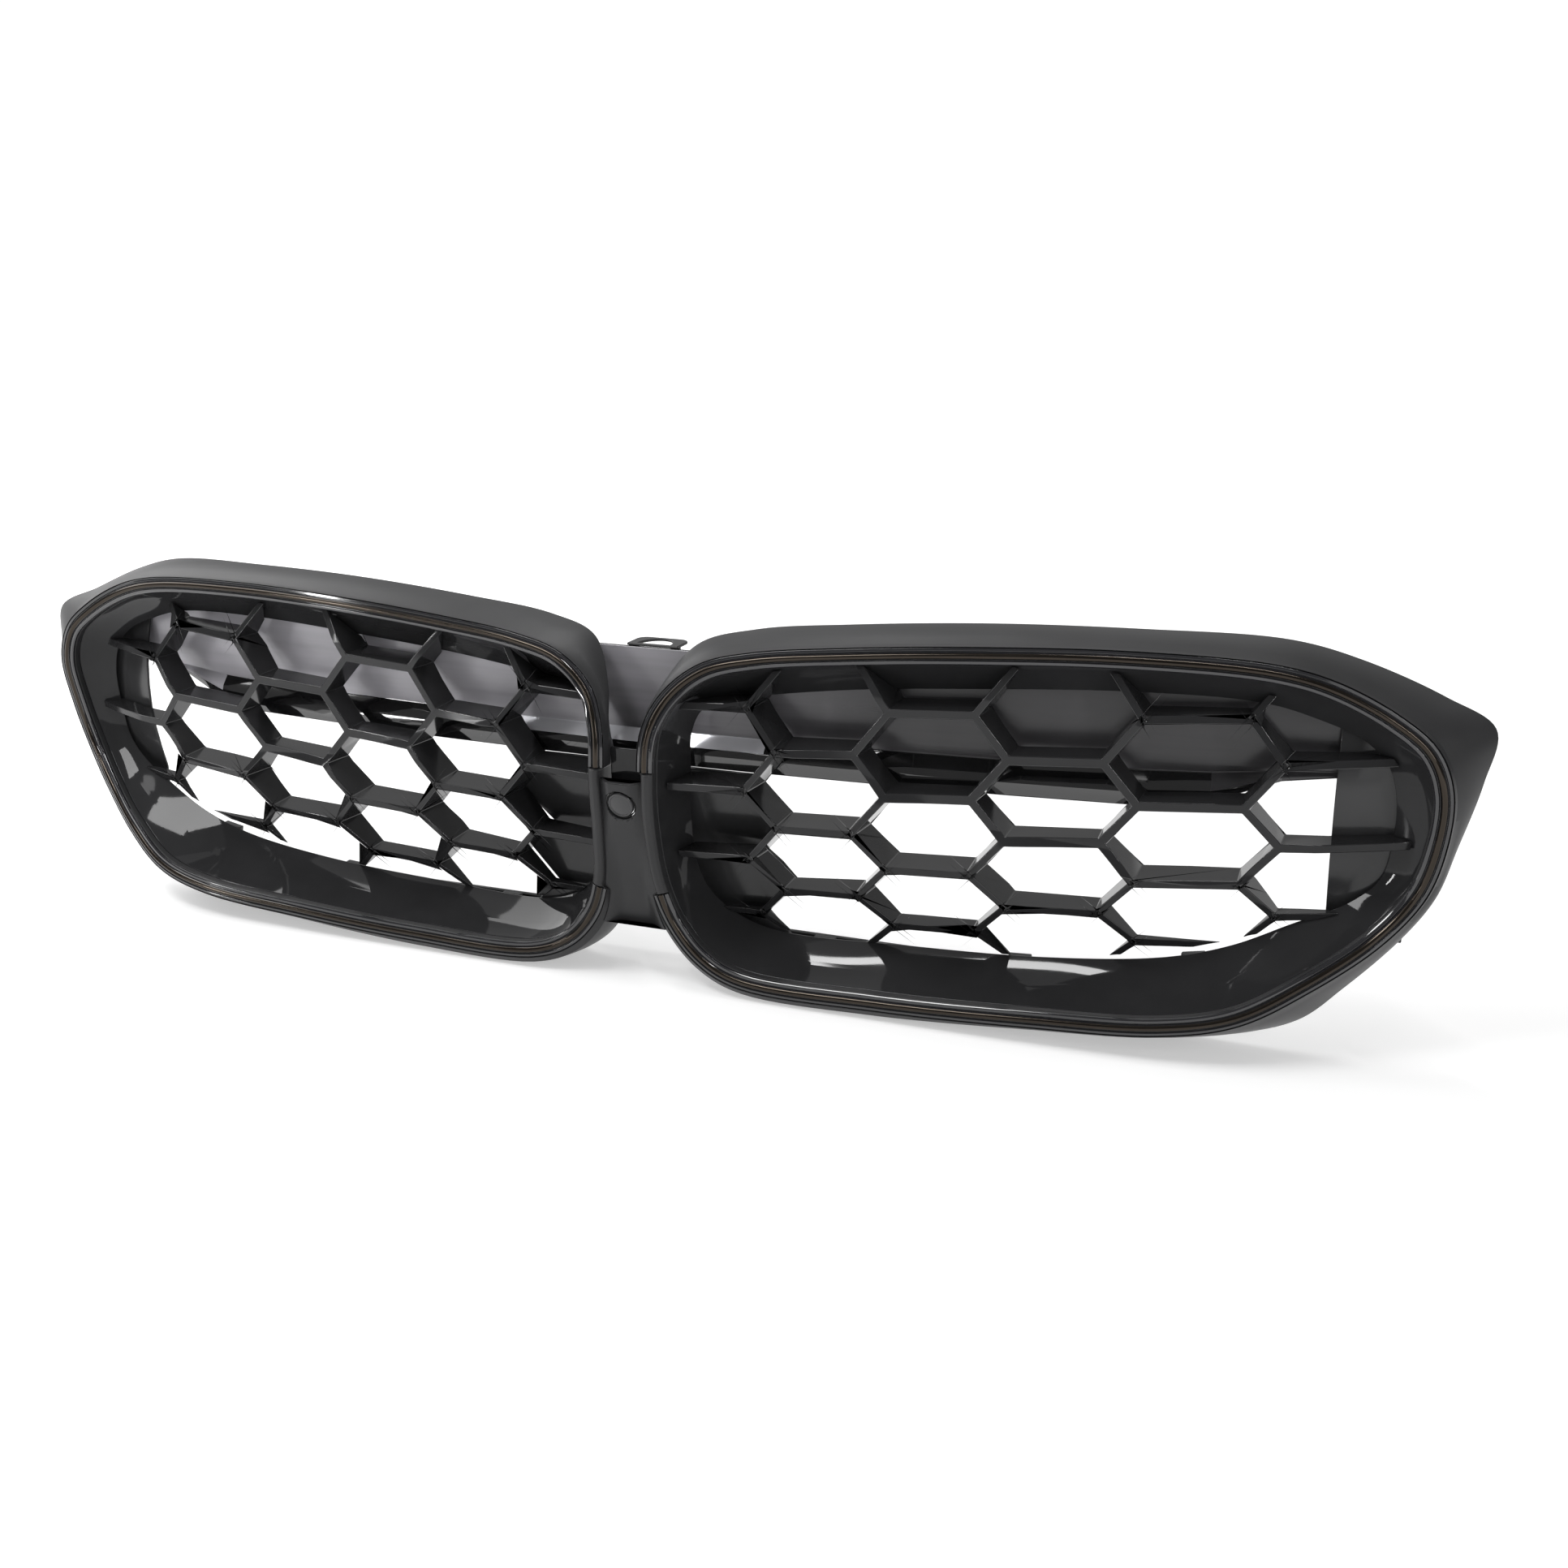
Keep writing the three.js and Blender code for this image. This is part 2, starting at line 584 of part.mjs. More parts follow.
// A shallow domed cap on a hollow skirt that snaps into the hole.
function plugGeometry() {
  const { radius, thickness, skirt, length } = PLUG;
  return lathe([
    [0, 0.9 - thickness], [skirt - 1.6, 0.9 - thickness], [skirt - 1.6, -length], [skirt, -length],
    [skirt, -0.6 - thickness], [radius, -0.6 - thickness], [radius, -1.1], [radius - 1, -0.3],
    [radius * 0.5, 0.3], [0, 0.5],
  ], 28);
}

function plugSeal() {
  const [inner, outer] = [PLUG.radius + 0.3, PLUG_HOLE - 0.3];
  return lathe([[inner, -3.6], [outer, -3.6], [outer, -1.6], [inner, -1.9], [inner, -3.6]], 28);
}

// ---- assembly -----------------------------------------------------------------------------

addPair('surround', loft(stations.map(surroundSection)), 'satin');
addPair('trim_ring', trimRing(), 'trim');
addPair('shroud', loft(stations.map(shroudSection)), 'gloss');
addPair('mesh_insert', meshInsert(throatSpace(0.5)), 'mesh');

addPair('inner_blanking_panel', innerPanel(), 'panel');
addPair('outer_blanking_panel', outerPanel(), 'panel');

const tabHoles = TAB.screwX.map((x) => (
  rod(SCREW.shank + SCREW.play, BEAM.centre + BEAM.skin, 30, x, TAB.screwZ)));
add('rear_crossbeam', cut(addBrackets(beam()), ...tabHoles), 'panel');
add('top_mount_tab', mountTab(), 'carrier');
['left', 'right'].forEach((side, i) => {
  const screw = add(`tab_screw_${side}`, screwGeometry(SCREW.length), 'steel');
  screw.position.set(TAB.screwX[i], TAB_SEAT + TAB.wall + GAP - SCREW.length, TAB.screwZ);
});

addClips();
add('lower_rail', box(-RAIL.half, RAIL.half, RAIL.front, RAIL.front + RAIL.wall, RAIL.bottom, RAIL.top), 'carrier');

const hole = new THREE.CylinderGeometry(PLUG_HOLE, PLUG_HOLE, 30, 28);
hole.rotateX(BRIDGE.lean);
hole.translate(0, plugSeat.position.y, PLUG.z);
add('centre_bridge', cut(bridge(), hole), 'satin');
add('pocket_plate', box(-9, 9, -22, -20, -2, 17), 'gloss');
group.add(plugSeat);
add('camera_blanking_plug', plugGeometry(), 'panel', plugSeat);
add('plug_seal', plugSeal(), 'rubber', plugSeat);

export default group;
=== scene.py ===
"""Looks of a car front grille: satin surrounds, trim rings, gloss shrouds and hexagon inserts.

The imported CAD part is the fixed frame. Swept pieces are rebuilt here from the same outline with
more stations and finer sections. The web and the plug are built anew, the web reaching under the
surrounds' shoulders, and the rest are edge-broken copies of their CAD nodes.
"""

from __future__ import annotations

import json
import logging
import math
from dataclasses import dataclass, field
from enum import Enum
from typing import Sequence

import bmesh
import bpy
from mathutils import Matrix, Vector

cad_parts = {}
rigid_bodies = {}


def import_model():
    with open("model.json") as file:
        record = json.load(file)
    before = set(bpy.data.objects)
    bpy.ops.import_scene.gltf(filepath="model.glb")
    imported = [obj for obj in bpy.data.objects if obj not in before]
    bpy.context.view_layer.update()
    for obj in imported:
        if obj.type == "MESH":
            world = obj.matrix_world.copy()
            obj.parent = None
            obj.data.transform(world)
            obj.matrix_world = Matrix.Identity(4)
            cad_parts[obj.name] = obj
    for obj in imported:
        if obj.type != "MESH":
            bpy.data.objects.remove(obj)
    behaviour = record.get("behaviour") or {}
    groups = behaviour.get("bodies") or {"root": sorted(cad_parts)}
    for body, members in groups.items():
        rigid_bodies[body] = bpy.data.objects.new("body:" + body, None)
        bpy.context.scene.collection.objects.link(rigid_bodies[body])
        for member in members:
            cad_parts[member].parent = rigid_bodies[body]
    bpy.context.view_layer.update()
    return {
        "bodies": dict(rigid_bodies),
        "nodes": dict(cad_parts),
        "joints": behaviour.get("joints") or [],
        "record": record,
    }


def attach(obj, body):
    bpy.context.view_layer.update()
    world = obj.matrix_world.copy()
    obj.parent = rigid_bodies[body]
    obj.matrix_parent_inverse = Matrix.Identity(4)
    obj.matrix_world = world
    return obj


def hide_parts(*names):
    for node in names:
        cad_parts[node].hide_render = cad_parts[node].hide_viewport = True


LOG = logging.getLogger("grille")
MM = 0.001
BODY = "grille"
PLUG_BODY = "plug"
MIX_FACTOR, MIX_FIRST, MIX_SECOND, MIX_RESULT = 0, 6, 7, 2  # sockets of a colour mix node
DRIFT = 0.045  # size of the slow drift in colour and gloss, m
DRIFT_DETAIL = 3.0
GRAIN_DETAIL = 2.0
DRIFT_SPAN = {"From Min": 0.3, "From Max": 0.7}  # the stretch of the drift's noise that is used
GRAIN_STRENGTH = 0.35
COAT_ROUGHNESS = 0.03
SHARP_ANGLE = 60  # edges sharper than this many degrees stay sharp in shading
WELD = 2e-6  # CAD vertices closer than this, in m, are one
AXIS_WELD = 1e-7  # the same for points of a body of revolution on its axis
ORIGIN = Vector((0.0, 8.44, -116.16))  # the row's origin in the modelling axes, mm

Section = Sequence[tuple[float, float]]
Edge = tuple[float, int, float]  # a rounding: its width in mm, the faces across it and its least angle


class Side(Enum):
    """Which half of the grille a piece belongs to, as seen from the front."""

    RIGHT = 1
    LEFT = -1

    @property
    def tag(self) -> str:
        """The ending of node names on this side."""
        return self.name.lower()


# ---- the outline of an opening ---------------------------------------------------------------


@dataclass(frozen=True)
class Corner:
    """One corner of the right-hand opening, in mm in the modelling axes."""

    bead: tuple[float, float, float]
    flare: float
    rim: tuple[float, float, float]
    throat: tuple[float, float, float]


@dataclass(frozen=True)
class Station:
    """Everything a section needs at one place along the outline."""

    bead: Vector
    rim: Vector
    throat: Vector
    out: Vector
    flare: float
    plain: bool
    crease: float

    def at(self, d: float, y: float, anchor: Vector | None = None) -> Vector:
        """The point d outside the anchor, which is the bead unless given, and y behind it."""
        return (self.bead if anchor is None else anchor) + self.out * d + Vector((0, y, 0))


CORNERS = (
    Corner((14, -31, 0), 0, (12.4, -5, 0), (26, 4, 0)),
    Corner((15.5, -28, 28), 0.8, (10.2, -20, 28), (26.5, 5, 22)),
    Corner((24, -21, 46), 0.8, (14.6, -10.5, 47), (32, 7, 34)),
    Corner((42, -17, 60.5), 0.8, (30, 6, 70), (46, 9, 40)),
    Corner((68, -14, 67.5), 0.8, (60, 14, 78.5), (70, 11, 44.5)),
    Corner((115, -9, 72.5), 0.8, (112, 16, 84.5), (118, 13, 51)),
    Corner((185, -4, 77.5), 0.8, (184, 20, 89.6), (186, 16, 56.5)),
    Corner((260, 2, 80), 0.8, (258, 27, 91), (258, 20, 60.5)),
    Corner((325, 8, 77.5), 0.8, (328, 38, 88.8), (318, 26, 59)),
    Corner((352, 11, 71), 0.8, (362, 43, 80.3), (345, 30, 52)),
    Corner((380, 14, 57), 0.8, (401, 47, 64.5), (366, 33, 43)),
    Corner((397, 15.5, 43), 0.8, (424.5, 40, 52.5), (378, 35, 31)),
    Corner((404.5, 17, 24), 0.8, (421.5, 36, 27), (383, 36, 14)),
    Corner((403.5, 22, -6), 0.8, (413, 36, -7), (383, 38, -8)),
    Corner((397, 23, -29), 0.8, (406, 35, -32), (379, 38, -27)),
    Corner((380, 15, -51), 0.8, (393, 34, -54), (366, 34, -39.5)),
    Corner((350, -2, -73), 0.8, (368, 27, -82), (340, 26, -51.5)),
    Corner((320, -14, -90), 0.8, (347, 22, -101), (312, 22, -65.5)),
    Corner((285, -20, -98), 1.5, (309, 20, -113), (280, 21, -76)),
    Corner((220, -22, -103), 2, (226, 24, -115), (220, 20, -84.5)),
    Corner((140, -22, -107), 3.6, (141, 24, -115.2), (142, 20, -89)),
    Corner((62, -22, -106), 3.6, (58, 18, -114.8), (72, 16, -89)),
    Corner((40, -20, -97), 3.6, (33, 8, -106), (48, 12, -80)),
    Corner((25, -20, -80), 3.4, (16.6, 4, -86), (34, 8, -66)),
    Corner((17, -23, -58), 0.6, (15.6, -5, -58), (28, 5, -48)),
    Corner((14.2, -28, -30), 0, (12.4, -5, -30), (26, 4, -26)),
)


@dataclass(frozen=True)
class Outline:
    """Closed curves through the corners, and the stations along them."""

    corners: tuple[Corner, ...] = CORNERS
    ring_start: float = 0.25
    ring_end: float = 23.8
    step_width: float = 0.04
    ring_steps: int = 224
    plain_steps: int = 28
    crease: float = 4.6
    plain_crease: float = 1.8
    probe: float = 0.02  # half the step, in corners, that gives the direction along the bead
    inset: float = 0.001  # how far the ring's end stations stay inside its ends

    def point(self, key: str, corner: float) -> Vector:
        """A point on one of the closed centripetal curves.

        Args:
            key: Which of a corner's points the curve passes through.
            corner: Where along it, counted in corners.

        Returns:
            The point, in mm in the modelling axes.
        """
        count = len(self.corners)
        low = math.floor(corner)
        t = corner - low
        p0, p1, p2, p3 = (Vector(getattr(self.corners[(low + k) % count], key)) for k in (-1, 0, 1, 2))
        d0, d1, d2 = ((b - a).length ** 0.5 for a, b in ((p0, p1), (p1, p2), (p2, p3)))
        m1 = ((p1 - p0) / d0 - (p2 - p0) / (d0 + d1) + (p2 - p1) / d1) * d1
        m2 = ((p2 - p1) / d1 - (p3 - p1) / (d1 + d2) + (p3 - p2) / d2) * d1
        c2 = (p2 - p1) * 3 - m1 * 2 - m2
        c3 = (p1 - p2) * 2 + m1 + m2
        return p1 + m1 * t + c2 * t**2 + c3 * t**3

    def station(self, corner: float) -> Station:
        """The station at a place counted in corners."""
        along = self.point("bead", corner + self.probe) - self.point("bead", corner - self.probe)
        out = Vector((-along.z, 0, along.x)).normalized()
        low = math.floor(corner) % len(self.corners)
        blend = corner - math.floor(corner)
        following = self.corners[(low + 1) % len(self.corners)]
        plain = corner > self.ring_end or corner < self.ring_start
        return Station(
            bead=self.point("bead", corner),
            rim=self.point("rim", corner),
            throat=self.point("throat", corner),
            out=out,
            flare=self.corners[low].flare * (1 - blend) + following.flare * blend,
            plain=plain,
            crease=self.plain_crease if plain else self.crease,
        )

    def ring(self) -> list[Station]:
        """Stations along the stretch that carries the trim ring."""
        start, end = self.ring_start + self.inset, self.ring_end - self.inset
        return [self.station(c) for c in spread(start, end, self.ring_steps)]

    def all_round(self) -> list[Station]:
        """Stations all the way round, the plain stretch beside the bridge last."""
        end = len(self.corners) + self.ring_start - self.step_width
        plain = [self.station(c) for c in spread(self.ring_end + self.step_width, end, self.plain_steps)]
        return self.ring() + plain


def spread(start: float, end: float, steps: int) -> list[float]:
    """Evenly spaced values from start to end, both included."""
    return [start + (end - start) * i / steps for i in range(steps + 1)]


# ---- mesh helpers ----------------------------------------------------------------------------


def to_row(point: Vector, side: Side = Side.RIGHT) -> Vector:
    """A point in the modelling axes, in mm, as a point of the row's frame, in metres."""
    moved = (point - ORIGIN) * MM
    return Vector((moved.x * side.value, moved.y, moved.z))


def new_object(name: str, mesh: bpy.types.Mesh) -> bpy.types.Object:
    """An object of this mesh, linked to the scene."""
    obj = bpy.data.objects.new(name, mesh)
    bpy.context.scene.collection.objects.link(obj)
    return obj


def loft(
    name: str,
    rows: Sequence[Sequence[Vector]],
    side: Side = Side.RIGHT,
    closed: bool = True,
    paint: Sequence[int] | None = None,
) -> bpy.types.Object:
    """A closed skin of quads through rows of points.

    Args:
        name: Name of the new object.
        rows: One closed section each, all with the same number of points, in mm.
        side: The half that it belongs to; the left half is mirrored.
        closed: Whether the last row joins the first. If not, both ends are capped.
        paint: Material index of each stretch of the section.

    Returns:
        The new object, with its normals facing out.
    """
    bm = bmesh.new()
    grid = [[bm.verts.new(to_row(p, side)) for p in row] for row in rows]
    size = len(rows[0])
    last = len(rows) if closed else len(rows) - 1
    for i in range(last):
        following = grid[(i + 1) % len(rows)]
        for k in range(size):
            after = (k + 1) % size
            face = bm.faces.new((grid[i][k], following[k], following[after], grid[i][after]))
            face.material_index = paint[k] if paint else 0
    if not closed:
        bm.faces.new(grid[0])
        bm.faces.new(reversed(grid[-1]))
    bmesh.ops.recalc_face_normals(bm, faces=bm.faces)
    mesh = bpy.data.meshes.new(name)
    bm.to_mesh(mesh)
    bm.free()
    return new_object(name, mesh)


def turned(name: str, profile: Section, place: Matrix, steps: int = 72) -> bpy.types.Object:
    """A body of revolution about its own z axis.

    Args:
        name: Name of the new object.
        profile: Radius and height of each point, in mm; a profile that doesn't start on the axis
            closes on itself.
        place: Where its axes lie in the row's frame.
        steps: Sides of the circle.

    Returns:
        The new object.
    """
    bm = bmesh.new()
    verts = [bm.verts.new(Vector((r, 0, h)) * MM) for r, h in profile]
    edges = [bm.edges.new(pair) for pair in zip(verts, verts[1:])]
    if profile[0][0] > 0:
        edges.append(bm.edges.new((verts[-1], verts[0])))
    bmesh.ops.spin(
        bm, geom=verts + edges, axis=(0, 0, 1), cent=(0, 0, 0), steps=steps, angle=math.tau, use_merge=True
    )
    bmesh.ops.remove_doubles(bm, verts=bm.verts, dist=AXIS_WELD)
    bmesh.ops.recalc_face_normals(bm, faces=bm.faces)
    bm.transform(place)
    mesh = bpy.data.meshes.new(name)
    bm.to_mesh(mesh)
    bm.free()
    return new_object(name, mesh)


def copy_node(frame: dict, node: str, name: str, flat: float = 1.0) -> bpy.types.Object:
    """A copy of a CAD node's mesh with its flat faces joined up, ready for edge breaking.

    Args:
        frame: The loaded frame.
        node: The CAD node.
        name: Name of the copy.
        flat: Faces that meet at less than this angle, in degrees, become one.

    Returns:
        The copy.
    """
    bm = bmesh.new()
    bm.from_mesh(frame["nodes"][node].data)
    bmesh.ops.remove_doubles(bm, verts=bm.verts, dist=WELD)
    bmesh.ops.dissolve_limit(
        bm, angle_limit=math.radians(flat), verts=bm.verts, edges=bm.edges, use_dissolve_boundaries=False
    )
    bmesh.ops.recalc_face_normals(bm, faces=bm.faces)
    mesh = bpy.data.meshes.new(name)
    bm.to_mesh(mesh)
    bm.free()
    return new_object(name, mesh)


def break_edges(
    obj: bpy.types.Object, width: float, segments: int, angle: float, edge_material: int = -1
) -> None:
    """Rounds the edges of a piece as its mould or tool leaves them.

    Args:
        obj: The piece.
        width: Width of the rounding, in mm.
        segments: Faces across it.
        angle: Edges sharper than this many degrees are rounded.
        edge_material: Material index of the rounded edges; -1 keeps that of the faces beside them.
    """
    bevel = obj.modifiers.new("edges", "BEVEL")
    bevel.width = width * MM
    bevel.segments = segments
    bevel.limit_method = "ANGLE"
    bevel.angle_limit = math.radians(angle)
    bevel.use_clamp_overlap = False
    bevel.material = edge_material
    obj.data.shade_smooth()
    obj.data.set_sharp_from_angle(angle=math.radians(SHARP_ANGLE))
    weighted = obj.modifiers.new("normals", "WEIGHTED_NORMAL")
    weighted.keep_sharp = True


# ---- finishes --------------------------------------------------------------------------------


def linear(hex_colour: str) -> tuple[float, float, float, float]:
    """An sRGB hex colour as linear red, green, blue and alpha."""
    values = [int(hex_colour[i : i + 2], 16) / 255 for i in (1, 3, 5)]
    return (*(v / 12.92 if v <= 0.04045 else ((v + 0.055) / 1.055) ** 2.4 for v in values), 1.0)


def add_node(
    tree: bpy.types.NodeTree, kind: str, settings: dict | None = None, links: dict | None = None
) -> bpy.types.Node:
    """Adds a node to a tree.

    Args:
        tree: The tree.
        kind: Node type, without its ShaderNode prefix.
        settings: Attribute name, input name or input number to value.
        links: Input name or number to the output socket that feeds it.

    Returns:
        The node.
    """
    node = tree.nodes.new("ShaderNode" + kind)
    for key, value in (settings or {}).items():
        if isinstance(key, int) or key in node.inputs:
            node.inputs[key].default_value = value
        else:
            setattr(node, key, value)
    for key, socket in (links or {}).items():
        tree.links.new(socket, node.inputs[key])
    return node


@dataclass(frozen=True)
class Moulding:
    """A moulded or plated surface: a colour, a gloss that wanders a little, and a grain."""

    name: str
    colour: str
    roughness: float
    slot: str
    wander: float = 0.04  # how far the roughness wanders either way
    grain_mm: float = 0.6  # size of the grain
    grain_height_mm: float = 0.0
    metallic: float = 0.0
    coat: float = 0.0
    specular: float = 0.5
    least_roughness: float = 0.01
    tone: float = 0.12  # how much lighter and darker the colour drifts
    flow: tuple[float, float, float] = (1.0, 1.0, 1.0)  # how the drift is squeezed along each axis
    left_painted_light: str = ""  # painted light: a paler colour at the left-hand end, where it differs
    painted_light_reach: tuple[float, float] = (-0.2, 0.17)  # where along x, in m, the painted light gives way to the other colour

    def material(self) -> bpy.types.Material:
        """Builds the finish's material, once.

        Returns:
            The material.
        """
        known = bpy.data.materials.get(self.name)
        if known:
            return known
        material = bpy.data.materials.new(self.name)
        material.use_nodes = True
        tree = material.node_tree
        tree.nodes.clear()
        place = add_node(tree, "TexCoord").outputs["Object"]
        squeezed = add_node(tree, "VectorMath", {"operation": "MULTIPLY", 1: self.flow}, {0: place})
        cloud = add_node(
            tree, "TexNoise", {"Scale": 1 / DRIFT, "Detail": DRIFT_DETAIL}, {"Vector": squeezed.outputs["Vector"]}
        )
        across = add_node(tree, "SeparateXYZ", None, {"Vector": place}).outputs["X"]
        # The left-hand colour is painted light: the colour shades from it to the main colour along x.
        low, high = self.painted_light_reach
        share = add_node(
            tree,
            "MapRange",
            {"From Min": low, "From Max": high, "interpolation_type": "SMOOTHSTEP"},
            {"Value": across},
        )
        pair = {MIX_FIRST: linear(self.left_painted_light or self.colour), MIX_SECOND: linear(self.colour)}
        base = add_node(tree, "Mix", {"data_type": "RGBA", **pair}, {MIX_FACTOR: share.outputs["Result"]})
        drift = add_node(
            tree,
            "MapRange",
            {**DRIFT_SPAN, "To Min": 1 - self.tone, "To Max": 1 + self.tone},
            {"Value": cloud.outputs["Fac"]},
        )
        tint = add_node(
            tree,
            "Mix",
            {"data_type": "RGBA", "blend_type": "MULTIPLY", MIX_FACTOR: 1.0},
            {MIX_FIRST: base.outputs[MIX_RESULT], MIX_SECOND: drift.outputs["Result"]},
        )
        gloss = add_node(
            tree,
            "MapRange",
            {
                **DRIFT_SPAN,
                "To Min": max(self.least_roughness, self.roughness - self.wander),
                "To Max": self.roughness + self.wander,
            },
            {"Value": cloud.outputs["Fac"]},
        )
        shader = add_node(
            tree,
            "BsdfPrincipled",
            {
                "Metallic": self.metallic,
                "Coat Weight": self.coat,
                "Coat Roughness": COAT_ROUGHNESS,
                "Specular IOR Level": self.specular,
            },
            {"Base Color": tint.outputs[MIX_RESULT], "Roughness": gloss.outputs["Result"]},
        )
        if self.grain_height_mm:
            grain = add_node(
                tree,
                "TexNoise",
                {"Scale": 1 / (self.grain_mm * MM), "Detail": GRAIN_DETAIL},
                {"Vector": place},
            )
            bump = add_node(
                tree,
                "Bump",
                {"Strength": GRAIN_STRENGTH, "Distance": self.grain_height_mm * MM},
                {"Height": grain.outputs["Fac"]},
            )
            tree.links.new(bump.outputs["Normal"], shader.inputs["Normal"])
        add_node(tree, "OutputMaterial", None, {"Surface": shader.outputs["BSDF"]})
        return material

    def dress(self, obj: bpy.types.Object) -> None:
        """Gives a piece this finish, as its next material."""
        obj.data.materials.append(self.material())


# Moulded ABS with a fine satin grain: a soft, broad sheen that rolls over the crown.
SATIN_ABS = Moulding("satin_moulded_abs", "#2d2d2e", 0.38, "satin_black", 0.03, 0.7, 0.02, specular=0.25)
# High-gloss moulded ABS from a polished tool: near black, with sharp but dim reflections.
PIANO_ABS = Moulding("piano_black_abs", "#29292a", 0.04, "gloss_black", 0.015, specular=0.2)
# The plate at the bottom of the pocket: the same tool polish, in full black.
POCKET_BLACK = Moulding("polished_pocket_black", "#1a1a1b", 0.1, "gloss_black", 0.03, specular=0.3)
# Gloss-moulded insert: black, with slightly softer reflections than the shroud.
INSERT_ABS = Moulding("gloss_moulded_insert", "#252526", 0.12, "mesh_black", 0.03, specular=0.25)
# The insert's rounded edges: a thin clear coat on them draws faint bright lines.
EDGE_POLISH = Moulding("polished_insert_edge", "#222223", 0.08, "mesh_black", 0.03, coat=0.2)
# Lacquered trim: near-black grooves with a sharp, thin sheen.
TRIM_LACQUER = Moulding("lacquered_trim", "#1c1c1f", 0.08, "black_chrome_trim", 0.02, coat=0.7)
# Smoked chrome on the bead: a dark, faintly warm gleam along the ring.
SMOKED_CHROME = Moulding("smoked_chrome_bead", "#3b3631", 0.16, "black_chrome_trim", 0.03, metallic=1.0)
# Smooth black polypropylene panels behind the insert.
BLACK_PANEL = Moulding("smooth_black_panel", "#333334", 0.16, "panel_grey", 0.04, 1.2, 0.01, specular=0.35)
# The beam's face: grey, with faint horizontal bands in its tone and gloss, and painted light: its left-hand half
# is paler, standing in for a reflection on that side, and the paleness reaches into its shaded middle.
BEAM_GREY = Moulding(
    "grey_beam_painted_reflection",
    "#3a393b",
    0.24,
    "panel_grey",
    0.05,
    1.2,
    0.01,
    specular=0.45,
    tone=0.14,
    flow=(0.25, 1.0, 5.0),
    left_painted_light="#b4b2b8",
)
# A painted reflection on the middle of the beam's lip: a pale colour that stands in for the light that a polished
# lip mirrors.
BRIGHT_LIP = Moulding("painted_lip_reflection", "#ececf2", 0.2, "panel_grey", 0.05, metallic=0.3, coat=1.0)
# The gloss band along the beam's lower edge, partly painted shade: a real gloss finish, in a near-black colour
# that stands in for the dark reflections on the lower part of the beam's face.
GLOSS_BAND = Moulding("gloss_beam_band_painted_shade", "#161617", 0.07, "panel_grey", 0.02, coat=1.0)
# The plug's cap: the same satin as the bridge, a touch smoother.
PLUG_ABS = Moulding("satin_plug_cap", "#323233", 0.3, "plug_satin", 0.03, 0.7, 0.01)
# Matt moulded carrier pieces: coarse grain, hardly any sheen.
CARRIER_PP = Moulding("matt_carrier_pp", "#2a2a2b", 0.6, "carrier_black", 0.06, 1.0, 0.04)
# Soft rubber of the plug's seal.
SEAL_RUBBER = Moulding("seal_rubber", "#0e0e0e", 0.35, "seal_rubber", 0.05, 0.8, 0.03)
# Zinc-plated steel screws: cool grey metal with a faint cloudiness.
ZINC_STEEL = Moulding("zinc_plated_steel", "#a9adb2", 0.32, "screw_steel", 0.08, metallic=1.0)


# ---- sub-assemblies --------------------------------------------------------------------------


@dataclass
class Piece:
    """What every sub-assembly does with a finished object."""

    frame: dict

    def settle(self, obj: bpy.types.Object, finish: Moulding, *nodes: str, body: str = BODY) -> None:
        """Dresses a piece, hangs it on its body and puts it in the place of CAD nodes.

        Args:
            obj: The piece.
            finish: Its finish.
            nodes: The CAD nodes that it stands for.
            body: The CAD body that it moves with.
        """
        finish.dress(obj)
        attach(obj, body)
        if nodes:
            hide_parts(*nodes)
        LOG.info("%s: %d faces, %s", obj.name, len(obj.data.polygons), finish.name)


